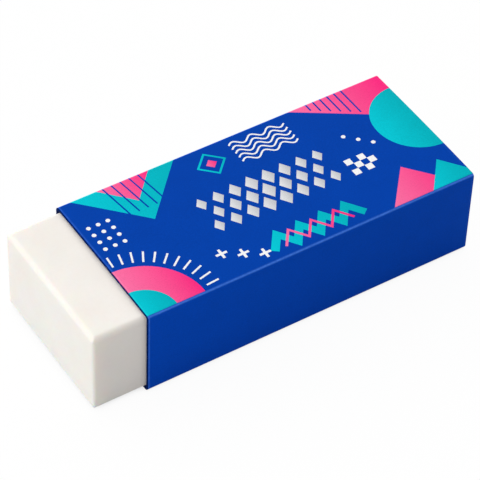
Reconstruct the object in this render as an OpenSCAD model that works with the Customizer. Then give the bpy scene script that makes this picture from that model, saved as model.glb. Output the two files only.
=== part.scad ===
// Block eraser in a folded and glued card sleeve.
// X runs along the eraser with the bare nose at its negative end, Y runs across it and Z points up.
// The origin lies on the table, under the middle of the whole eraser. Sizes are in millimetres.

/* [Eraser block] */
// Length of the block
block_len = 55.8; // [50:0.1:70]
// Width of the block
block_w = 21.5; // [16:0.1:28]
// Height of the block
block_h = 12.35; // [9:0.05:16]
// Radius of the block's top edges
top_edge_r = 0.85; // [0.5:0.05:1.5]
// Radius of the block's upright edges
upright_edge_r = 0.5; // [0.3:0.05:1]
// Radius of the block's bottom edges
foot_edge_r = 0.3; // [0.2:0.05:0.8]
// How far the block stands out of the sleeve at the nose
nose_len = 7.4; // [3:0.1:14]

/* [Card sleeve] */
// Length of the sleeve along the block
sleeve_len = 48.8; // [30:0.1:60]
// Thickness of the card
card_t = 0.25; // [0.2:0.01:0.4]
// Outside radius of the folds
fold_r = 0.5; // [0.45:0.01:0.8]
// Rise of the top panel from its folds to its middle
top_crown = 0.12; // [0.05:0.01:0.4]
// Width of the glue flap that lies inside the bottom panel
flap_w = 9; // [4:0.5:14]
// Distance from the back fold to the glued free edge of the bottom panel
lap_setback = 0.6; // [0.2:0.1:2]

/* [Fit] */
// Clearance under the block and behind it
slip = 0.08; // [0.05:0.01:0.3]
// Slack above the block and in front of it
slack = 0.22; // [0.05:0.01:0.4]

/* [Hidden] */

// Facets of the small rounds, and of the wide arc of the top panel
$fn = 48;
crown_fn = 2400;

// The card wraps the block once, and twice under it, where the flap lies on the bottom panel
block_z = 2 * card_t + slip;
sleeve_w = block_w + slip + slack + 2 * card_t;
shoulder_h = block_z + block_h + slack + card_t;
sleeve_h = shoulder_h + top_crown;

// The block lies against the back panel
block_y = sleeve_w / 2 - card_t - slip - block_w;

// Half the flat width between two folds, and the arc through both top folds and the crown
flat_half = sleeve_w / 2 - fold_r;
crown_r = (flat_half * flat_half + top_crown * top_crown) / (2 * top_crown);

// Places along X
overall_len = max(block_len, nose_len + sleeve_len);
nose_x = -overall_len / 2;
sleeve_x = nose_x + nose_len;

// A rectangle with its low corner at the origin, one radius at its two low corners and another at the high ones
module soft_rectangle(w, h, low_r, high_r) {
    translate([0, low_r]) square([w, h - low_r - high_r]);
    translate([low_r, 0]) square([w - 2 * low_r, h - high_r]);
    translate([high_r, low_r]) square([w - 2 * high_r, h - low_r]);
    for (x = [low_r, w - low_r])
        translate([x, low_r]) circle(r = low_r);
    for (x = [high_r, w - high_r])
        translate([x, h - high_r]) circle(r = high_r);
}

// A block with its low corner at the origin, cut by its outlines from the front, from the end and from above
module soft_block(l, w, h) {
    intersection() {
        translate([0, w, 0]) rotate([90, 0, 0])
            linear_extrude(height = w) soft_rectangle(l, h, foot_edge_r, top_edge_r);
        rotate([90, 0, 90])
            linear_extrude(height = l) soft_rectangle(w, h, foot_edge_r, top_edge_r);
        linear_extrude(height = h) soft_rectangle(l, w, upright_edge_r, upright_edge_r);
    }
}

// The sleeve's section is drawn with Y to the right and Z up.
// One fold is a quarter ring of card round its bend centre, turned to its corner.
module fold(y, z, turn) {
    translate([y, z]) rotate(turn) intersection() {
        difference() {
            circle(r = fold_r);
            circle(r = fold_r - card_t);
        }
        square(fold_r);
    }
}

// The top panel bows up between its two folds, where the block presses on the card
module crowned_panel() {
    intersection() {
        difference() {
            translate([0, sleeve_h - crown_r]) circle(r = crown_r, $fn = crown_fn);
            translate([0, sleeve_h - card_t - crown_r]) circle(r = crown_r, $fn = crown_fn);
        }
        translate([-flat_half, shoulder_h - fold_r]) square([2 * flat_half, fold_r + top_crown]);
    }
}

// The card from its glued free edge, once round the block, to the end of the flap
module card_section() {
    side_top = shoulder_h - fold_r;
    // Bottom panel, with its free edge short of the back fold
    translate([-flat_half, 0]) square([2 * flat_half - lap_setback, card_t]);
    fold(-flat_half, fold_r, 180);
    // Front panel
    translate([-sleeve_w / 2, fold_r]) square([card_t, side_top - fold_r]);
    fold(-flat_half, side_top, 90);
    crowned_panel();
    fold(flat_half, side_top, 0);
    // Back panel, which ends one card higher than the front panel
    translate([sleeve_w / 2 - card_t, card_t + fold_r]) square([card_t, side_top - card_t - fold_r]);
    fold(flat_half, card_t + fold_r, 270);
    // Glue flap
    translate([flat_half - flap_w, card_t]) square([flap_w, card_t]);
}

module eraser_block() {
    color("#F3EEE7")
        translate([nose_x, block_y, block_z])
            soft_block(block_len, block_w, block_h);
}

module card_sleeve() {
    color("#0042AC")
        translate([sleeve_x, 0, 0])
            rotate([90, 0, 90])
                linear_extrude(height = sleeve_len) card_section();
}

eraser_block();
card_sleeve();
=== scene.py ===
"""Looks of a block eraser in a folded, printed card sleeve.

The sleeve is made the way the real one is: a flat blank is printed and then folded round the block.
Sizes are in millimetres until a mesh is built, and the frame is the row's: X along the eraser, Z up.
"""

import bisect
import math

import bpy
from mathutils import Matrix, Vector, geometry


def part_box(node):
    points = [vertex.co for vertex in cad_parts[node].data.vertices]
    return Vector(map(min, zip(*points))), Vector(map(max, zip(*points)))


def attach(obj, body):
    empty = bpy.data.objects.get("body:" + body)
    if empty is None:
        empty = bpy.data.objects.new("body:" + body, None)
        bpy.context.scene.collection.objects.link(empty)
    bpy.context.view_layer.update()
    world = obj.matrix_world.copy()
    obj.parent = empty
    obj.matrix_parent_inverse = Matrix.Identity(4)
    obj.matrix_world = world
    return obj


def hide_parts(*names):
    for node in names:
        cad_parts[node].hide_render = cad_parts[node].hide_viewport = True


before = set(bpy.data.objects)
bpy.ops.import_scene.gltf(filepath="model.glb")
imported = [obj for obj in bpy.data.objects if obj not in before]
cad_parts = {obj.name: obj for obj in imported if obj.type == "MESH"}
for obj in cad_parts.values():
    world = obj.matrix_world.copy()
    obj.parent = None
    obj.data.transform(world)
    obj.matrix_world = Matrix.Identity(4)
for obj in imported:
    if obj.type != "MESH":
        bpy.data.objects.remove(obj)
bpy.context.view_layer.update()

MM = 0.001


# Sizes that the frame gives

def box_mm(node):
    """Lowest and highest corner of a CAD node, in millimetres."""
    low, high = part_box(node)
    return low / MM, high / MM


sleeve_low, sleeve_high = box_mm("card_sleeve")
block_low, block_high = box_mm("eraser_block")
sleeve_w = sleeve_high.y - sleeve_low.y
sleeve_len = sleeve_high.x - sleeve_low.x
block_half = (block_high - block_low) / 2
block_centre = (block_high + block_low) / 2

# Sizes of the card and of the block's edges, which a box can't show
CARD_T = 0.25
FOLD_R = 0.5
TOP_CROWN = 0.12
FLAP_W = 9.0
LAP_SETBACK = 0.6
TOP_EDGE_R = 0.85
UPRIGHT_EDGE_R = 0.5
FOOT_EDGE_R = 0.3

# Width of the line between the glue flap and the bottom panel, and radius of the card's cut ends
GLUE_LINE = 0.015
CUT_ROUND = 0.05

# Places in the sleeve's section
shoulder_h = sleeve_high.z - TOP_CROWN
flat_half = sleeve_w / 2 - FOLD_R
side_top = shoulder_h - FOLD_R
crown_r = (flat_half**2 + TOP_CROWN**2) / (2 * TOP_CROWN)
crown_half_angle = math.asin(flat_half / crown_r)


def clamped(value):
    """The value, held between 0 and 1."""
    return min(1.0, max(0.0, value))


# Materials

# Numbers of the Mix node's sockets that are used for colours
MIX_SHARE, MIX_A, MIX_B, MIX_RESULT = 0, 6, 7, 2


def srgb(red, green, blue):
    """A colour given as 0 to 255 on screen, as linear light."""
    def linear(c):
        c /= 255
        return c / 12.92 if c <= 0.04045 else ((c + 0.055) / 1.055) ** 2.4
    return (linear(red), linear(green), linear(blue), 1.0)


def grey(level):
    """A grey given as linear light."""
    return (level, level, level, 1.0)


def feed(tree, socket, value):
    """Link a node's output to a socket, or set the socket's own value."""
    if isinstance(value, bpy.types.NodeSocket):
        tree.links.new(value, socket)
    else:
        socket.default_value = value


def maths(tree, operation, *values):
    """The result of a Math node."""
    made = tree.nodes.new("ShaderNodeMath")
    made.operation = operation
    for socket, value in zip(made.inputs, values):
        feed(tree, socket, value)
    return made.outputs["Value"]


class Look:
    """A Principled material with short helpers for the nodes that vary it."""

    def __init__(self, name):
        self.material = bpy.data.materials.new(name)
        self.material.use_nodes = True
        self.tree = self.material.node_tree
        self.shader = self.tree.nodes["Principled BSDF"]
        self.place = self.tree.nodes.new("ShaderNodeTexCoord").outputs["Object"]

    def node(self, kind, settings=None, **inputs):
        """A node with its settings and its inputs. Input names have _ for a space."""
        made = self.tree.nodes.new(kind)
        for key, value in (settings or {}).items():
            setattr(made, key, value)
        for key, value in inputs.items():
            feed(self.tree, made.inputs[key.replace("_", " ")], value)
        return made

    def noise(self, size_mm, detail=2.0, roughness=0.5):
        """Noise whose spots are about size_mm across."""
        made = self.node("ShaderNodeTexNoise", Vector=self.place, Detail=detail, Roughness=roughness)
        feed(self.tree, made.inputs["Scale"], 1 / (size_mm * MM))
        return made.outputs["Fac"]

    def spread(self, value, low, high, from_low=0.3, from_high=0.7):
        """The value stretched from its usual range to low and high."""
        limits = {"From_Min": from_low, "From_Max": from_high, "To_Min": low, "To_Max": high}
        return self.node("ShaderNodeMapRange", {"clamp": True}, Value=value, **limits).outputs["Result"]

    def product(self, a, b):
        return maths(self.tree, "MULTIPLY", a, b)

    def mix(self, share, a, b, blend="MIX"):
        """Colour a turned into colour b by a share from 0 to 1."""
        made = self.node("ShaderNodeMix", {"data_type": "RGBA", "blend_type": blend})
        for number, value in ((MIX_SHARE, share), (MIX_A, a), (MIX_B, b)):
            feed(self.tree, made.inputs[number], value)
        return made.outputs[MIX_RESULT]

    def attribute(self, name):
        """A number that the mesh stores under the name."""
        return self.node("ShaderNodeAttribute", {"attribute_name": name}).outputs["Fac"]

    def bump(self, height, depth_mm, strength, normal=None):
        """A relief of the given depth, over another one's normal if that is given."""
        made = self.node("ShaderNodeBump", Height=height, Distance=depth_mm * MM, Strength=strength)
        if normal is not None:
            feed(self.tree, made.inputs["Normal"], normal)
        return made.outputs["Normal"]

    def set(self, **values):
        """Give the shader's own inputs. Their names have _ for a space."""
        for key, value in values.items():
            feed(self.tree, self.shader.inputs[key.replace("_", " ")], value)


def printed_look(name, colour, worn_and_highlit, second=None):
    """Ink on coated card under a satin varnish. It turns to a paler colour along the top folds and near the
    cut ends: ink worn there, and painted highlight.

    second is the colour at the other end of a blend, which the mesh attribute tone drives.
    """
    look = Look(name)
    base = look.mix(look.attribute("tone"), colour, second) if second else colour
    density = look.spread(look.noise(3.5, detail=3), 0.975, 1.02)
    grain = look.spread(look.noise(0.16), 0.93, 1.07)
    shade = look.product(density, grain)
    tint = look.node("ShaderNodeCombineColor", Red=shade, Green=shade, Blue=shade)
    inked = look.mix(1.0, base, tint.outputs["Color"], "MULTIPLY")
    # Paler along the top folds and near the cut ends: worn ink with painted highlight.
    fold_mottle = look.spread(look.noise(0.35, detail=3), 0.7, 1.0)
    folds_worn_and_highlit = look.mix(look.product(look.attribute("fold_wear_and_highlight"), fold_mottle), inked, worn_and_highlit)
    cut_mottle = look.spread(look.noise(0.5), 0.2, 0.46)
    cuts_worn_and_highlit = look.mix(look.product(look.attribute("cut_wear_and_highlight"), cut_mottle), folds_worn_and_highlit, worn_and_highlit)
    fibres = look.noise(0.22, detail=4, roughness=0.6)
    peel = look.noise(1.3, detail=1)
    look.set(
        Base_Color=cuts_worn_and_highlit,
        Roughness=look.spread(fibres, 0.42, 0.52),
        Specular_IOR_Level=0.015,
        Normal=look.bump(peel, 0.004, 0.6, look.bump(fibres, 0.0035, 0.5)),
    )
    return look.material


def foil_look():
    """Silver ink: a pale grey with fine metal flakes in it."""
    look = Look("silver_ink")
    flakes = look.spread(look.noise(0.07), 0.0, 1.0, 0.35, 0.65)
    slow = look.spread(look.noise(4.0), 0.0, 0.35)
    pale = look.mix(flakes, srgb(226, 227, 229), srgb(244, 244, 246))
    dark = look.mix(flakes, srgb(164, 166, 172), srgb(188, 190, 196))
    blend = look.mix(look.attribute("tone"), pale, dark)
    look.set(
        Base_Color=look.mix(slow, blend, srgb(222, 224, 230)),
        Roughness=look.spread(flakes, 0.36, 0.5, 0.0, 1.0),
        Metallic=0.15,
        Normal=look.bump(flakes, 0.002, 0.4),
    )
    return look.material


def cut_look():
    """The card's cut edge, dark blue: ink, and darker still as painted shade of the gap beside it."""
    look = Look("card_cut_edge")
    layers = look.noise(0.12, detail=3)
    look.set(
        Base_Color=look.mix(look.spread(layers, 0.0, 1.0), srgb(1, 22, 74), srgb(4, 38, 112)),
        Roughness=0.9,
        Specular_IOR_Level=0.02,
        Normal=look.bump(layers, 0.01, 0.6),
    )
    return look.material


def board_look():
    """The card's unprinted side: grey-backed board with fibres, painted dark blue near its cut ends as
    painted shade inside the sleeve's mouth.
    """
    look = Look("bare_board")
    fibres = look.noise(0.3, detail=5, roughness=0.65)
    cloud = look.noise(2.4)
    pale = look.mix(look.spread(cloud, 0.0, 1.0), srgb(168, 164, 156), srgb(180, 177, 169))
    flecked = look.mix(look.spread(fibres, 0.0, 0.6), pale, srgb(146, 142, 135))
    look.set(
        # Dark blue near the cut ends: painted shade inside the sleeve's mouth.
        Base_Color=look.mix(look.attribute("mouth"), flecked, srgb(2, 34, 106)),
        Roughness=0.88,
        Specular_IOR_Level=0.1,
        Normal=look.bump(fibres, 0.012, 0.6),
    )
    return look.material


def vinyl_look():
    """Cream-white soft vinyl that lets a little light in, red furthest. It is paler under the sleeve and
    just outside its mouth: painted light against the shade there.
    """
    look = Look("cream_vinyl")
    cloud = look.noise(5.0, detail=3)
    skin = look.noise(0.4, detail=4, roughness=0.6)
    pores = look.noise(0.09)
    handled = look.mix(look.spread(cloud, 0.0, 1.0), srgb(248, 242, 235), srgb(251, 246, 240))
    # Paler at and under the sleeve's mouth: painted light against the shade there.
    lit_beside_mouth = look.mix(look.attribute("mouth_painted_light"), handled, srgb(253, 247, 240))
    look.set(
        Base_Color=look.mix(look.spread(skin, 0.0, 0.25), lit_beside_mouth, srgb(243, 236, 228)),
        Roughness=look.spread(skin, 0.6, 0.7),
        Specular_IOR_Level=0.15,
        Subsurface_Weight=look.product(look.attribute("open_end"), 0.6),
        Subsurface_Radius=(1.0, 0.55, 0.35),
        Subsurface_Scale=1.6 * MM,
        Normal=look.bump(skin, 0.006, 0.5, look.bump(pores, 0.002, 0.4)),
    )
    return look.material


# The print on the top panel.
# U runs from the nose end of the sleeve, V from the middle of the panel to the back fold.

BLUE = srgb(0, 66, 172)
# The side panels' blue is a lighter copy of the top's: painted light against the shade on the sides.
BLUE_SIDE_PAINTED_LIGHT = srgb(0, 77, 200)
# The worn colours are paler inks for the top folds and the cut ends: worn ink, and painted highlight.
BLUE_WORN_AND_HIGHLIT = srgb(80, 140, 252)
TEAL = srgb(2, 203, 217)
TEAL_DEEP = srgb(0, 178, 190)
TEAL_WORN_AND_HIGHLIT = srgb(40, 236, 238)
PINK_PALE = srgb(255, 116, 168)
PINK_DEEP = srgb(255, 40, 130)
PINK_WORN_AND_HIGHLIT = srgb(255, 160, 200)
WHITE = srgb(250, 250, 250)

# The print goes this far round the front fold and the back fold
FRONT_WRAP = 0.2
BACK_WRAP = 0.55
PRINT_FRONT = -flat_half - FRONT_WRAP
PRINT_BACK = flat_half + BACK_WRAP

# Each border of the print as an axis, a sign and the most that sign times the coordinate may be
BORDERS = ((0, -1, 0), (0, 1, sleeve_len), (1, -1, -PRINT_FRONT), (1, 1, PRINT_BACK))

# Turn from point to point of a disc, points in one wave, and the sharpest mitre of a stroke
ARC_STEP = math.radians(6)
WAVE_STEPS = 16
LEAST_MITRE = 0.3

# Sizes that several motifs share. What hangs over a border is cut off there.
DOT_R = 0.3
DOT_STEP = 1.4
SQUARE_W = 1.0
OVERHANG = 1

shapes = []


def cut_off(points, axis, sign, limit):
    """The part of a polygon where sign times its coordinate is at most the limit."""
    kept = []
    for a, b in zip(points, points[1:] + points[:1]):
        room_a = limit - sign * a[axis]
        room_b = limit - sign * b[axis]
        if room_a >= 0:
            kept.append(a)
        if (room_a > 0 > room_b) or (room_a < 0 < room_b):
            t = room_a / (room_a - room_b)
            kept.append((a[0] + t * (b[0] - a[0]), a[1] + t * (b[1] - a[1])))
    return kept


def area(ink, points):
    """One flat field of ink, over all that was drawn before it and cut off at the print's borders."""
    inside = list(points)
    for axis, sign, limit in BORDERS:
        inside = cut_off(inside, axis, sign, limit)
    if len(inside) > 2:
        turning = sum(a[0] * b[1] - b[0] * a[1] for a, b in zip(inside, inside[1:] + inside[:1]))
        shapes.append((ink, inside if turning > 0 else inside[::-1]))


def sector(u, v, radius, start=0.0, end=360.0):
    """A pie slice, or a whole disc."""
    whole = end - start >= 360
    steps = max(3, round(math.radians(end - start) / ARC_STEP))
    count = steps if whole else steps + 1
    angles = [math.radians(start + (end - start) * i / steps) for i in range(count)]
    rim = [(u + radius * math.cos(a), v + radius * math.sin(a)) for a in angles]
    return rim if whole else [(u, v)] + rim


def triangle_on(border, start, end, tip_u, tip_v):
    """A triangle with its base on the front or the back border."""
    return [(start, border), (end, border), (tip_u, tip_v)]


def square(u, v, width):
    """A square with its low corner at u and v."""
    return [(u, v), (u + width, v), (u + width, v + width), (u, v + width)]


def lozenge(u, v, half_u, half_v):
    return [(u - half_u, v), (u, v - half_v), (u + half_u, v), (u, v + half_v)]


def plus(u, v, arm, width):
    """A plus sign, drawn as its twelve corners."""
    w = width / 2
    corners = []
    for turn in range(4):
        a = math.radians(90 * turn)
        c, s = math.cos(a), math.sin(a)
        corners += [(u + x * c - y * s, v + x * s + y * c) for x, y in ((w, w), (w, arm), (-w, arm))]
    return corners


def stroke(line, width):
    """A line of even width through the given points, with mitred bends and square ends."""
    left, right = [], []
    last = len(line) - 1
    for i, (u, v) in enumerate(line):
        before, after = line[max(i - 1, 0)], line[min(i + 1, last)]
        into = Vector((u - before[0], v - before[1])).normalized() if i else None
        onward = Vector((after[0] - u, after[1] - v)).normalized() if i < last else None
        way = ((into or onward) + (onward or into)).normalized()
        reach = width / 2 / max(LEAST_MITRE, way.dot(into or onward))
        left.append((u - way.y * reach, v + way.x * reach))
        right.append((u + way.y * reach, v - way.x * reach))
    return right + left[::-1]


def zigzag(u, v, pitch, height, count):
    return [(u + pitch * i / 2, v + (height if i % 2 else 0)) for i in range(2 * count + 1)]


def wave(u, v, length, height, count):
    steps = WAVE_STEPS * count
    turn = 2 * math.pi * count / steps
    return [(u + length * i / steps, v + height * math.sin(turn * i)) for i in range(steps + 1)]


def draw_nose_end():
    """Two hatched triangles and a field of dots at the back, and a quarter disc with rays at the front."""
    area("teal", triangle_on(PRINT_BACK, 1.6, 17.4, 9.5, 2.8))
    area("pink", triangle_on(PRINT_BACK, 5.4, 13.6, 9.5, 6.7))
    hatch_u, hatch_step, hatch_lean, hatch_end = 6.4, 1.3, 0.9, 5.0
    for i in range(5):
        u = hatch_u + hatch_step * i
        area("blue", stroke([(u, PRINT_BACK + OVERHANG), (u + hatch_lean, hatch_end)], 0.22))
    dots_u, dots_v = 1.5, 5.6
    for row in range(4):
        for column in range(3):
            area("white", sector(dots_u + DOT_STEP * column, dots_v - DOT_STEP * row, DOT_R))
    area("pink", sector(0, PRINT_FRONT, 8.4, 0, 90))
    area("teal", sector(0, PRINT_FRONT, 4.4, 0, 90))
    first_ray, ray_turn = 4.5, 8.1
    for i in range(11):
        a = math.radians(first_ray + ray_turn * i)
        ray = [(r * math.cos(a), r * math.sin(a) + PRINT_FRONT) for r in (9.1, 10.9)]
        area("white", stroke(ray, 0.26))


def draw_middle():
    """A lattice of silver lozenges that shrink to both sides, with small motifs before and behind it."""
    lattice_u, lattice_v = 24.6, 2.0
    step_u, step_v = 2.5, 2.15
    half_u, half_v = 1.0, 1.45
    shrinking = 0.07
    for row in range(3):
        count = 8 - row % 2
        for column in range(count):
            off = column - (count - 1) / 2
            size = 1.0 - shrinking * abs(off)
            middle_u, middle_v = lattice_u + step_u * off, lattice_v - step_v * row
            area("silver", lozenge(middle_u, middle_v, half_u * size, half_v * size))
    area("teal", stroke(zigzag(19.4, -9.6, 3.4, 2.3, 4), 1.1))
    area("pink", stroke(zigzag(21.1, -9.6, 3.4, 2.3, 3), 0.34))
    for i in range(3):
        area("white", plus(13.4 + 2.4 * i, -6.6 - 1.3 * i, 0.8, 0.36))
    for ink, half in (("teal", 2.2), ("blue", 1.8), ("pink", 0.8)):
        area(ink, lozenge(20.9, 7.7, half, half))
    for i in range(5):
        area("white", stroke(wave(24.6, 6.0 + 0.85 * i, 8.4, 0.42, 3), 0.24))


def draw_far_end():
    """A hatched triangle and a half disc at the back, two triangles in front, a chequer and three dots."""
    corner_u, corner_v = 34.2, 1.6
    area("pink", triangle_on(PRINT_BACK, corner_u, sleeve_len, sleeve_len, corner_v))
    area("teal", sector(sleeve_len, 1.8, 6.2, 90, 270))
    hatch_u, hatch_step, short_of_border = 37.4, 1.1, 0.5
    for i in range(6):
        u = hatch_u + hatch_step * i
        border = PRINT_BACK - (u - corner_u) * (PRINT_BACK - corner_v) / (sleeve_len - corner_u)
        area("blue", stroke([(u, PRINT_BACK + OVERHANG), (u, border + short_of_border)], 0.24))
    area("pink", triangle_on(PRINT_FRONT, 36.6, 46.2, 41.4, -5.2))
    area("teal", triangle_on(PRINT_FRONT, 42.6, 49.8, 46.2, -6.4))
    chequer_u, chequer_v = 35.6, -3.6
    for row in range(3):
        for column in range(4):
            if (row + column) % 2 == 0:
                area("white", square(chequer_u + SQUARE_W * column, chequer_v + SQUARE_W * row, SQUARE_W))
    dots_u, dots_v = 38.2, 3.2
    for i in range(3):
        area("white", sector(dots_u + DOT_STEP * i, dots_v - DOT_STEP * i, DOT_R))


# The flat blank.
# S runs along the card's outside from its glued free edge, round the block, to the end of the flap.
# A run is one panel or fold: its length, its number of steps and a function of the share t of its length.
# The function gives the place, the direction into the card and the direction out of it, all as (y, z).

FOLD_STEPS = 10
PANEL_STEPS = 10
CROWN_STEPS = 20
FLAP_STEPS = 6


def fold_run(centre_y, centre_z, start):
    """A fold: a quarter turn from the start angle, clockwise as seen from the far end."""
    def at(t):
        a = math.radians(start - 90 * t)
        out = (math.cos(a), math.sin(a))
        return (centre_y + FOLD_R * out[0], centre_z + FOLD_R * out[1]), (-out[0], -out[1]), out
    return math.pi / 2 * FOLD_R, FOLD_STEPS, at


def flat_run(start, end, out, steps=PANEL_STEPS):
    """A flat panel, with out as its outward direction."""
    def at(t):
        place = (start[0] + t * (end[0] - start[0]), start[1] + t * (end[1] - start[1]))
        return place, (-out[0], -out[1]), out
    return math.hypot(end[0] - start[0], end[1] - start[1]), steps, at


def crown_run():
    """The top panel, bowed up between its folds. Its thickness is measured straight down, as in the CAD."""
    def at(t):
        a = crown_half_angle * (2 * t - 1)
        out = (math.sin(a), math.cos(a))
        return (crown_r * out[0], sleeve_high.z - crown_r + crown_r * out[1]), (0, -1), out
    return 2 * crown_r * crown_half_angle, CROWN_STEPS, at


runs = [
    flat_run((flat_half - LAP_SETBACK, 0), (-flat_half, 0), (0, -1)),
    fold_run(-flat_half, FOLD_R, 270),
    flat_run((-sleeve_w / 2, FOLD_R), (-sleeve_w / 2, side_top), (-1, 0)),
    fold_run(-flat_half, side_top, 180),
    crown_run(),
    fold_run(flat_half, side_top, 90),
    flat_run((sleeve_w / 2, side_top), (sleeve_w / 2, CARD_T + FOLD_R), (1, 0)),
    fold_run(flat_half, CARD_T + FOLD_R, 0),
    flat_run((flat_half, CARD_T), (flat_half - FLAP_W, CARD_T), (0, -1), FLAP_STEPS),
]
FOLD_NUMBERS = (1, 3, 5, 7)
FRONT_TOP_FOLD, TOP_PANEL, BACK_TOP_FOLD, FLAP = 3, 4, 5, 8
run_starts = [sum(length for length, _, _ in runs[:i]) for i in range(len(runs) + 1)]
blank_w = run_starts[-1]


def run_middle(number):
    return run_starts[number] + runs[number][0] / 2


top_middle_s = run_middle(TOP_PANEL)
top_folds = [run_middle(FRONT_TOP_FOLD), run_middle(BACK_TOP_FOLD)]


def folded(s, depth):
    """Where a point of the blank lies once folded, and the outward direction there, both as (y, z).

    Depth runs into the card. The flap is thinner by the line that parts it from the bottom panel.
    """
    number = min(max(bisect.bisect_right(run_starts, s) - 1, 0), FLAP)
    length, _, at = runs[number]
    place, inward, out = at(min(1.0, (s - run_starts[number]) / length))
    if number == FLAP:
        depth = GLUE_LINE + depth * (CARD_T - GLUE_LINE) / CARD_T
    return (place[0] + depth * inward[0], place[1] + depth * inward[1]), out


# Lines of the blank, as distances beside each fold and from each cut end, and along the panels between
BESIDE_FOLD = (0.12, 0.3)
# A strip this wide of the printed side at the nose end's cut is dark: painted shade.
CUT_SHADE_STRIP = 0.07
BESIDE_CUT = (0, CUT_SHADE_STRIP, 0.14, 0.2, 0.28, 0.4, 0.7, 1.2)
MIDDLE_STEP = 3.0
MIDDLE_LINES = 15

# Points that are closer than this are one, and so are those with the same rounded places
MERGE = 1e-6
SAME_PLACE = 1e-5
LINE_DIGITS = 6
PLACE_DIGITS = 4


def same(a, b):
    return abs(a - b) < SAME_PLACE


def spot(x, s):
    """A point of the blank as a key."""
    return round(x, PLACE_DIGITS), round(s, PLACE_DIGITS)


def blank_lines():
    """S of the lines that the blank bends or shades along."""
    lines = {0.0, blank_w}
    for (length, steps, _), start in zip(runs, run_starts):
        lines |= {round(start + length * i / steps, LINE_DIGITS) for i in range(steps + 1)}
    for number in FOLD_NUMBERS:
        for beyond in BESIDE_FOLD:
            lines.add(round(run_starts[number] - beyond, LINE_DIGITS))
            lines.add(round(run_starts[number + 1] + beyond, LINE_DIGITS))
    return sorted(s for s in lines if 0 <= s <= blank_w)


def length_lines():
    """X of the lines that the blank is cut along, from the nose end of the sleeve."""
    ends = [CUT_ROUND + beside for beside in BESIDE_CUT]
    middle = [MIDDLE_STEP * i for i in range(1, MIDDLE_LINES + 1)]
    return ends + middle + [sleeve_len - end for end in reversed(ends)]


def grid_lines():
    """Both ends of every line of the blank, as (x, s)."""
    xs = length_lines()
    along = [((xs[0], s), (xs[-1], s)) for s in blank_lines()]
    across = [((x, 0.0), (x, blank_w)) for x in xs]
    return along + across


def numbered(points, more):
    """Add more points to a list, and give their numbers in it."""
    first = len(points)
    points.extend(Vector(p) for p in more)
    return tuple(range(first, len(points)))


def triangulated(points, edges, faces):
    """Blender's constrained triangulation: points, triangles, and the last face that holds each triangle."""
    places, _, triangles, _, _, owners = geometry.delaunay_2d_cdt(points, edges, faces, 0, MERGE, True)
    return places, triangles, [max(o) if o else -1 for o in owners]


def ink_of(middle_x, owner):
    """The ink of a triangle. A strip beside the nose end's cut gets the cut's dark colour: painted shade."""
    if middle_x < CUT_ROUND + CUT_SHADE_STRIP:
        return "cut"
    return shapes[owner][0] if owner >= 0 else "blue"


def printed_side():
    """The blank's printed side in (x, s): points, triangles, and the ink and the shape of each triangle."""
    points = []
    edges = [numbered(points, line) for line in grid_lines()]
    xs = length_lines()
    faces = []
    for _, outline in shapes:
        inner = [(min(max(u, xs[0]), xs[-1]), top_middle_s + v) for u, v in outline]
        faces.append(numbered(points, inner))
    places, triangles, owners = triangulated(points, edges, faces)
    middles = [sum(places[v].x for v in triangle) / 3 for triangle in triangles]
    inks = [ink_of(middle, owner) for middle, owner in zip(middles, owners)]
    return places, triangles, inks, owners


# Wear and shading of the card

# The side panels' blue is painted lighter than the top's: painted light against their shade. It comes in
# over this width of the top folds, and fades by a share along the sleeve: painted shade towards the far end.
SIDE_BLEND = 0.6
SIDE_PAINTED_FALLOFF = 0.2

# Half widths of the pale line on each top fold and of the one near each cut end, both worn ink and painted
# highlight
FOLD_WEAR_AND_HIGHLIGHT = 0.13
CUT_WEAR_AND_HIGHLIGHT = 0.07
CUT_HIGHLIGHT_PLACE = CUT_ROUND + 0.2

# The line near the cut ends is this share stronger on the sides, painted light against their shade, and at
# the far end it is this share of the nose end's
SIDE_HIGHLIGHT_BOOST = 0.9
FAR_WEAR_AND_HIGHLIGHT = 0.15

# How far the painted shade reaches into the bare side from its cut ends
MOUTH_SHADE_REACH = 0.7


def band_near(distance, width):
    """1 on a line, falling off to both sides of it."""
    return math.exp(-((distance / width) ** 2))


def beside_top(s):
    """0 on the top panel and 1 on the rest, with a blend on the two top folds."""
    return clamped((abs(s - top_middle_s) - flat_half) / SIDE_BLEND)


def fold_wear_and_highlight(s):
    """How pale the two top folds are: ink rubbed off there, and painted highlight."""
    return max(band_near(s - fold, FOLD_WEAR_AND_HIGHLIGHT) for fold in top_folds)


def cut_wear_and_highlight(x, s):
    """How pale the card is near the cut ends: ink nicked off there, and painted highlight, stronger on the
    shaded sides.
    """
    cuts_worn_and_highlit = (1 + SIDE_HIGHLIGHT_BOOST * beside_top(s)) * band_near(min(x, sleeve_len - x) - CUT_HIGHLIGHT_PLACE, CUT_WEAR_AND_HIGHLIGHT)
    return cuts_worn_and_highlit * FAR_WEAR_AND_HIGHLIGHT if x > sleeve_len / 2 else cuts_worn_and_highlit


def mouth_painted_shade(x):
    """How much painted shade the bare side has near the cut ends."""
    return band_near(min(x, sleeve_len - x), MOUTH_SHADE_REACH)


def tone_at(place, owner):
    """How far a point is along the blend of its shape, or of the plain blue, whose sides are painted lighter
    than the top as painted light, less so towards the far end.
    """
    if owner < 0 or shapes[owner][0] == "blue":
        return beside_top(place.y) * (1 - SIDE_PAINTED_FALLOFF * place.x / sleeve_len)
    outline_u = [u for u, _ in shapes[owner][1]]
    return (place.x - min(outline_u)) / (max(outline_u) - min(outline_u))


# The folded card

# Steps over each quarter round of a cut end, and how many of the outer ones the print covers at either end.
# At the nose end it covers none, so that whole round is dark: painted shade.
END_STEPS = 6
NOSE_PRINTED_STEPS = 0
FAR_PRINTED_STEPS = 4


def give_values(data, key, values, domain="POINT"):
    """Store a number for each vertex or corner of a mesh, which its materials read by the key."""
    data.attributes.new(key, "FLOAT", domain).data.foreach_set("value", values)


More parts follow.
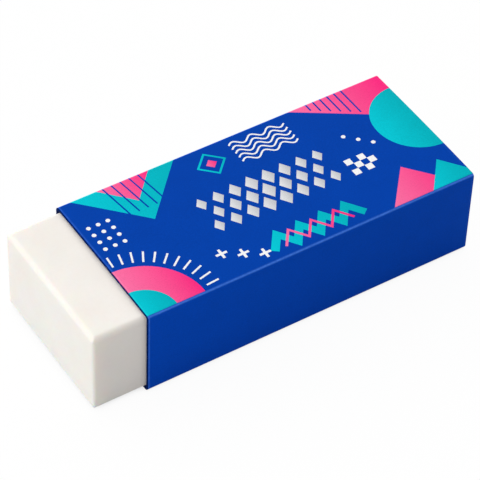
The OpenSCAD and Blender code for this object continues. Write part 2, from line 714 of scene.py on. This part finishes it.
class Shell:
    """Collects vertices, faces, materials and corner values, and makes one mesh of them."""

    def __init__(self):
        self.places, self.outward = [], []
        self.folds, self.cuts, self.mouths = [], [], []
        self.faces, self.inks, self.tones, self.smooth = [], [], [], []

    def vertex(self, x, s, depth, along=0.0):
        """A point of the card. along tilts its outward direction to the cut end at -X or +X."""
        (y, z), out = folded(s, depth)
        printed = depth < CARD_T / 2
        flat = math.sqrt(1 - along * along) * (1 if printed else -1)
        self.places.append(((x + sleeve_low.x) * MM, y * MM, z * MM))
        self.outward.append((along, out[0] * flat, out[1] * flat))
        self.folds.append(fold_wear_and_highlight(s) if printed else 0.0)
        self.cuts.append(cut_wear_and_highlight(x, s) if printed else 0.0)
        self.mouths.append(0.0 if printed else mouth_painted_shade(x))
        return len(self.places) - 1

    def face(self, corners, ink, tones=None, smooth=True):
        self.faces.append(corners)
        self.inks.append(ink)
        self.tones.append(tones or [0.0] * len(corners))
        self.smooth.append(smooth)

    def mesh(self, name, materials):
        """The mesh, with its materials given by the names of the inks."""
        data = bpy.data.meshes.new(name)
        data.from_pydata(self.places, [], self.faces)
        for material in materials.values():
            data.materials.append(material)
        numbers = {ink: number for number, ink in enumerate(materials)}
        data.polygons.foreach_set("material_index", [numbers[ink] for ink in self.inks])
        data.polygons.foreach_set("use_smooth", [True] * len(self.faces))
        give_values(data, "fold_wear_and_highlight", self.folds)
        give_values(data, "cut_wear_and_highlight", self.cuts)
        give_values(data, "mouth", self.mouths)
        give_values(data, "tone", [tone for tones in self.tones for tone in tones], "CORNER")
        data.update()
        normals = []
        for polygon, smooth in zip(data.polygons, self.smooth):
            normals += [self.outward[v] if smooth else tuple(polygon.normal) for v in polygon.vertices]
        data.normals_split_custom_set(normals)
        return data


def end_profile():
    """How the card's surface turns over its cut end: (distance from the end, depth, tilt to the end)."""
    turn = [math.radians(90 * i / END_STEPS) for i in range(END_STEPS + 1)]
    outer = [(CUT_ROUND * (1 - math.sin(a)), CUT_ROUND * (1 - math.cos(a)), math.sin(a)) for a in turn]
    inner = [(distance, CARD_T - depth, tilt) for distance, depth, tilt in reversed(outer)]
    return outer + inner


def add_printed_side(shell, printed):
    """The printed side of the card. Returns the shell's vertex for each point of the blank."""
    places, triangles, inks, owners = printed
    outer = [shell.vertex(p.x, p.y, 0.0) for p in places]
    for triangle, ink, owner in zip(triangles, inks, owners):
        tones = [tone_at(places[v], owner) for v in triangle]
        shell.face([outer[v] for v in triangle], ink, tones)
    return outer


def add_cut_end(shell, printed, outer, side):
    """A cut end, from the printed side over it to the bare side. Side is -1 at the nose end, else 1.

    Returns s of the points along the end, and a row of the shell's vertices for each step over it.
    """
    places, triangles, inks, owners = printed
    edge_x = CUT_ROUND if side < 0 else sleeve_len - CUT_ROUND
    printed_steps = NOSE_PRINTED_STEPS if side < 0 else FAR_PRINTED_STEPS
    rim = sorted((i for i, p in enumerate(places) if same(p.x, edge_x)), key=lambda i: places[i].y)
    beside = {}
    for triangle, ink, owner in zip(triangles, inks, owners):
        on_rim = frozenset(v for v in triangle if same(places[v].x, edge_x))
        beside[on_rim] = (ink, owner)
    rows = [[outer[i] for i in rim]]
    for distance, depth, tilt in end_profile()[1:]:
        x = distance if side < 0 else sleeve_len - distance
        rows.append([shell.vertex(x, places[i].y, depth, side * tilt) for i in rim])
    for step, (a, b) in enumerate(zip(rows, rows[1:])):
        for k in range(len(rim) - 1):
            ink, owner = beside[frozenset((rim[k], rim[k + 1]))]
            tone = tone_at(places[rim[k]], owner)
            quad = [a[k], a[k + 1], b[k + 1], b[k]]
            shell.face(quad if side < 0 else quad[::-1], ink if step < printed_steps else "cut", [tone] * 4)
    return [places[i].y for i in rim], rows


def add_bare_side(shell, ends):
    """The unprinted side of the card. Returns its points and the shell's vertex for each of them."""
    xs = length_lines()
    points = []
    known = {}
    for (rim_s, rows), x in zip(ends, (xs[0], xs[-1])):
        points += [Vector((x, s)) for s in rim_s]
        known.update({spot(x, s): vertex for s, vertex in zip(rim_s, rows[-1])})
    edges = [numbered(points, line) for line in grid_lines()]
    places, triangles, _ = triangulated(points, edges, [])
    inner = [known.get(spot(p.x, p.y)) or shell.vertex(p.x, p.y, CARD_T) for p in places]
    for triangle in triangles:
        shell.face([inner[v] for v in reversed(triangle)], "board")
    return places, inner


def on_line(places, vertices, s):
    """The vertices at s, from the nose end to the far end."""
    found = [(p.x, vertex) for p, vertex in zip(places, vertices) if same(p.y, s)]
    return [vertex for _, vertex in sorted(found)]


def add_free_edge(shell, top, low, ends, first):
    """A free edge as a single flat face: the first one, under the sleeve, or else the end of the flap."""
    pick = 0 if first else -1
    nose_end, far_end = [[row[pick] for row in rows[1:-1]] for _, rows in ends]
    loop = top + far_end + low[::-1] + nose_end[::-1]
    if first:
        shell.face(loop[::-1], "cut", smooth=False)
    else:
        shell.face(loop, "board", smooth=False)


def build_sleeve():
    """The whole card as one closed shell."""
    shell = Shell()
    printed = printed_side()
    outer = add_printed_side(shell, printed)
    ends = [add_cut_end(shell, printed, outer, side) for side in (-1, 1)]
    bare, inner = add_bare_side(shell, ends)
    for s, first in ((0.0, True), (blank_w, False)):
        add_free_edge(shell, on_line(printed[0], outer, s), on_line(bare, inner, s), ends, first)
    return shell


# The block

# The grid on the block's box has lines at these distances from each edge, and even ones between
EDGE_LINES = (0, 0.04, 0.09, 0.15, 0.22, 0.3, 0.39, 0.49, 0.6, 0.72, 0.85, 0.95)
GRID_STEP = 0.6

# A point of the box is drawn in towards the core, which lies deeper than any edge radius
CORE_INSET = 0.95
HALVINGS = 30

# Two rounds that meet blend where they differ by about this much
CREASE_BLEND = 0.04

# How far from its ends the vinyl lets light in, and how far out of the mouth its paler colour starts,
# painted light against the shade beside the mouth
OPEN_REACH = 6.4
PAINTED_LIGHT_REACH = 1.4


def outline_distance(a, b, half_a, half_b, radius):
    """Distance to a rectangle with rounded corners, less than 0 inside it, and its slope."""
    qa, qb = abs(a) - (half_a - radius), abs(b) - (half_b - radius)
    if qa > 0 and qb > 0:
        length = math.hypot(qa, qb)
        slope = (qa / length, qb / length)
    else:
        length = max(qa, qb)
        slope = (1.0, 0.0) if qa > qb else (0.0, 1.0)
    return length - radius, (math.copysign(slope[0], a), math.copysign(slope[1], b))


def block_surface(p):
    """Distance to the block's surface and the outward direction there, softened where two rounds meet."""
    level_r = TOP_EDGE_R if p[2] > 0 else FOOT_EDGE_R
    found = []
    for i, j, radius in ((0, 2, level_r), (1, 2, level_r), (0, 1, UPRIGHT_EDGE_R)):
        distance, slope = outline_distance(p[i], p[j], block_half[i], block_half[j], radius)
        way = Vector((0.0, 0.0, 0.0))
        way[i], way[j] = slope
        found.append((distance, way))
    outermost = max(distance for distance, _ in found)
    blended = sum((way * math.exp((d - outermost) / CREASE_BLEND) for d, way in found), Vector())
    return outermost, blended.normalized()


def on_block(corner):
    """The point of the block's surface below a point of its bounding box."""
    core = Vector(max(-h + CORE_INSET, min(h - CORE_INSET, c)) for c, h in zip(corner, block_half))
    inside, outside = 0.0, 1.0
    for _ in range(HALVINGS):
        middle = (inside + outside) / 2
        if block_surface(core.lerp(corner, middle))[0] > 0:
            outside = middle
        else:
            inside = middle
    return core.lerp(corner, inside)


def block_stations(half):
    """Grid lines along one axis, close together near the edges."""
    flat = 2 * (half - EDGE_LINES[-1])
    count = max(1, round(flat / GRID_STEP))
    inner = [-half + EDGE_LINES[-1] + flat * i / count for i in range(1, count)]
    return [-half + edge for edge in EDGE_LINES] + inner + [half - edge for edge in reversed(EDGE_LINES)]


def block_grid():
    """A fine grid on the block's box, drawn in onto its surface: places, outward directions and quads."""
    places, normals, faces, known = [], [], [], {}

    def vertex(axis, sign, at_b, at_c):
        corner = Vector((0.0, 0.0, 0.0))
        corner[axis] = sign * block_half[axis]
        corner[(axis + 1) % 3] = at_b
        corner[(axis + 2) % 3] = at_c
        key = tuple(round(c, PLACE_DIGITS) for c in corner)
        if key not in known:
            place = on_block(corner)
            known[key] = len(places)
            places.append((place + block_centre) * MM)
            normals.append(block_surface(place)[1])
        return known[key]

    for axis in range(3):
        lines_b = block_stations(block_half[(axis + 1) % 3])
        lines_c = block_stations(block_half[(axis + 2) % 3])
        for sign in (-1, 1):
            grid = [[vertex(axis, sign, b, c) for c in lines_c] for b in lines_b]
            for near, far in zip(grid, grid[1:]):
                for k in range(len(near) - 1):
                    quad = [near[k], far[k], far[k + 1], near[k + 1]]
                    faces.append(quad if sign > 0 else quad[::-1])
    return places, normals, faces


def build_block(material):
    """The block as a mesh, with how open each of its points is, and how much painted light it gets at the
    sleeve's mouth.
    """
    places, normals, faces = block_grid()
    data = bpy.data.meshes.new("vinyl_block")
    data.from_pydata(places, [], faces)
    data.polygons.foreach_set("use_smooth", [True] * len(faces))
    data.update()
    data.normals_split_custom_set_from_vertices(normals)
    xs = [p.x / MM for p in places]
    open_end = [1 - clamped((block_half.x - abs(x - block_centre.x)) / OPEN_REACH) for x in xs]
    mouth_painted_light = [clamped((x - sleeve_low.x + PAINTED_LIGHT_REACH) / PAINTED_LIGHT_REACH) for x in xs]
    give_values(data, "open_end", open_end)
    give_values(data, "mouth_painted_light", mouth_painted_light)
    data.materials.append(material)
    return data


def piece(name, data, body, node):
    """An object that rides on a body and stands in for a CAD node."""
    made = bpy.data.objects.new(name, data)
    bpy.context.scene.collection.objects.link(made)
    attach(made, body)
    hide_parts(node)


# Floor and sky

FLOOR_HALF = 3000.0

# Share of the shown white that comes from the light on the floor, and share of light that it throws back
FLOOR_SHARE = 0.045
FLOOR_BOUNCE = 0.7

# The darker part of the shadow beside the eraser: its reach, its depth and how fast it falls off
CONTACT_REACH = 2.0
CONTACT_DEPTH = 0.45
CONTACT_FALLOFF = 4.0
CONTACT_SAMPLES = 16

# Light of the sky on the whole, and how much it grows towards X, Y and Z
SKY_LEVEL = 0.86
SKY_SLOPE = (-0.26, 0.81, 0.04)


def shown_rays(tree):
    """1 for the rays that show the background, which are those of the camera, of gloss and of glass."""
    path = tree.nodes.new("ShaderNodeLightPath")
    mirrored = maths(tree, "MAXIMUM", path.outputs["Is Glossy Ray"], path.outputs["Is Transmission Ray"])
    return maths(tree, "MAXIMUM", path.outputs["Is Camera Ray"], mirrored)


def contact_shade(tree):
    """How much darker the floor shows right beside the eraser, and 0 in the open."""
    cover = tree.nodes.new("ShaderNodeAmbientOcclusion")
    cover.samples = CONTACT_SAMPLES
    feed(tree, cover.inputs["Distance"], CONTACT_REACH * MM)
    shut = maths(tree, "SUBTRACT", 1.0, cover.outputs["AO"])
    return maths(tree, "MULTIPLY", maths(tree, "POWER", shut, CONTACT_FALLOFF), CONTACT_DEPTH)


def diffuse(tree, level):
    """A matte grey surface."""
    made = tree.nodes.new("ShaderNodeBsdfDiffuse")
    feed(tree, made.inputs["Color"], grey(level))
    return made.outputs["BSDF"]


def floor_look():
    """White paper. It shows mostly its own white, less a faint shadow.

    To the other rays it is a pale sheet that throws back the light that falls on it.
    """
    material = bpy.data.materials.new("floor_white")
    material.use_nodes = True
    tree = material.node_tree
    tree.nodes.clear()
    glow = tree.nodes.new("ShaderNodeEmission")
    feed(tree, glow.inputs["Strength"], maths(tree, "SUBTRACT", 1 - FLOOR_SHARE, contact_shade(tree)))
    shown = tree.nodes.new("ShaderNodeAddShader")
    feed(tree, shown.inputs[0], diffuse(tree, FLOOR_SHARE))
    feed(tree, shown.inputs[1], glow.outputs["Emission"])
    either = tree.nodes.new("ShaderNodeMixShader")
    feed(tree, either.inputs[0], shown_rays(tree))
    feed(tree, either.inputs[1], diffuse(tree, FLOOR_BOUNCE))
    feed(tree, either.inputs[2], shown.outputs["Shader"])
    output = tree.nodes.new("ShaderNodeOutputMaterial")
    feed(tree, output.inputs["Surface"], either.outputs["Shader"])
    return material


def build_floor():
    data = bpy.data.meshes.new("floor")
    low, high = -FLOOR_HALF * MM, FLOOR_HALF * MM
    data.from_pydata([(low, low, 0), (high, low, 0), (high, high, 0), (low, high, 0)], [], [(0, 1, 2, 3)])
    data.materials.append(floor_look())
    floor = bpy.data.objects.new("floor", data)
    bpy.context.scene.collection.objects.link(floor)


def build_world():
    """A soft sky, brightest behind the eraser and on its nose's side. It shows as plain white."""
    world = bpy.data.worlds.new("studio")
    bpy.context.scene.world = world
    world.use_nodes = True
    tree = world.node_tree
    place = tree.nodes.new("ShaderNodeTexCoord")
    slope = tree.nodes.new("ShaderNodeVectorMath")
    slope.operation = "DOT_PRODUCT"
    feed(tree, slope.inputs[0], place.outputs["Generated"])
    feed(tree, slope.inputs[1], SKY_SLOPE)
    strength = tree.nodes.new("ShaderNodeMix")
    feed(tree, strength.inputs["Factor"], shown_rays(tree))
    feed(tree, strength.inputs["A"], maths(tree, "ADD", slope.outputs["Value"], SKY_LEVEL))
    feed(tree, strength.inputs["B"], 1.0)
    background = tree.nodes["Background"]
    feed(tree, background.inputs["Color"], grey(1.0))
    feed(tree, background.inputs["Strength"], strength.outputs["Result"])


# Lamps and camera

# The camera's place, its angles in degrees, and its lens. It was fitted to the photo.
CAMERA_PLACE = (-134.69, -198.76, 249.3)
CAMERA_AZIMUTH, CAMERA_ELEVATION, CAMERA_ROLL = -34.096, 45.338, 2.296
CAMERA_LENS = 200.0
SENSOR_W = 36.0
CAMERA_NEAR, CAMERA_FAR = 10.0, 20000.0


def add_lamp(name, direction, distance, size, share):
    """A soft lamp. A small one of its power would light a face turned to it to the share of full white."""
    data = bpy.data.lights.new(name, "AREA")
    data.shape = "SQUARE"
    data.size = size * MM
    away = distance * MM
    data.energy = share * math.pi**2 * away**2
    lamp = bpy.data.objects.new(name, data)
    way = Vector(direction).normalized()
    lamp.location = way * away
    lamp.rotation_euler = way.to_track_quat("Z", "Y").to_euler()
    lamp.visible_camera = False
    bpy.context.scene.collection.objects.link(lamp)


def build_camera():
    """The camera. At azimuth 0 it looks along +Y."""
    data = bpy.data.cameras.new("camera")
    data.sensor_width = SENSOR_W
    data.lens = CAMERA_LENS
    data.clip_start, data.clip_end = CAMERA_NEAR * MM, CAMERA_FAR * MM
    camera = bpy.data.objects.new("camera", data)
    a, e, r = (math.radians(x) for x in (CAMERA_AZIMUTH, CAMERA_ELEVATION, CAMERA_ROLL))
    back = Vector((math.sin(a) * math.cos(e), -math.cos(a) * math.cos(e), math.sin(e)))
    level = Vector((math.cos(a), math.sin(a), 0))
    upright = back.cross(level)
    right = level * math.cos(r) + upright * math.sin(r)
    up = back.cross(right)
    turn = Matrix((right, up, back)).transposed().to_4x4()
    camera.matrix_world = Matrix.Translation(Vector(CAMERA_PLACE) * MM) @ turn
    bpy.context.scene.collection.objects.link(camera)
    bpy.context.scene.camera = camera


# Everything is made here

draw_nose_end()
draw_middle()
draw_far_end()
inks = {
    "blue": printed_look("blue_ink", BLUE, BLUE_WORN_AND_HIGHLIT, second=BLUE_SIDE_PAINTED_LIGHT),
    "teal": printed_look("teal_ink", TEAL, TEAL_WORN_AND_HIGHLIT, second=TEAL_DEEP),
    "pink": printed_look("pink_ink", PINK_PALE, PINK_WORN_AND_HIGHLIT, second=PINK_DEEP),
    "white": printed_look("white_ink", WHITE, WHITE),
    "silver": foil_look(),
    "cut": cut_look(),
    "board": board_look(),
}
sleeve_mesh = build_sleeve().mesh("printed_sleeve", inks)
block_mesh = build_block(vinyl_look())
piece("printed_sleeve", sleeve_mesh, "sleeve", "card_sleeve")
piece("vinyl_block", block_mesh, "block", "eraser_block")

build_floor()
build_world()
add_lamp("key", direction=(-0.56, 0.30, 0.77), distance=450, size=750, share=0.16)
add_lamp("fill", direction=(-0.58, -0.76, 0.26), distance=130, size=60, share=0.07)
build_camera()
bpy.context.scene.view_settings.view_transform = "Standard"
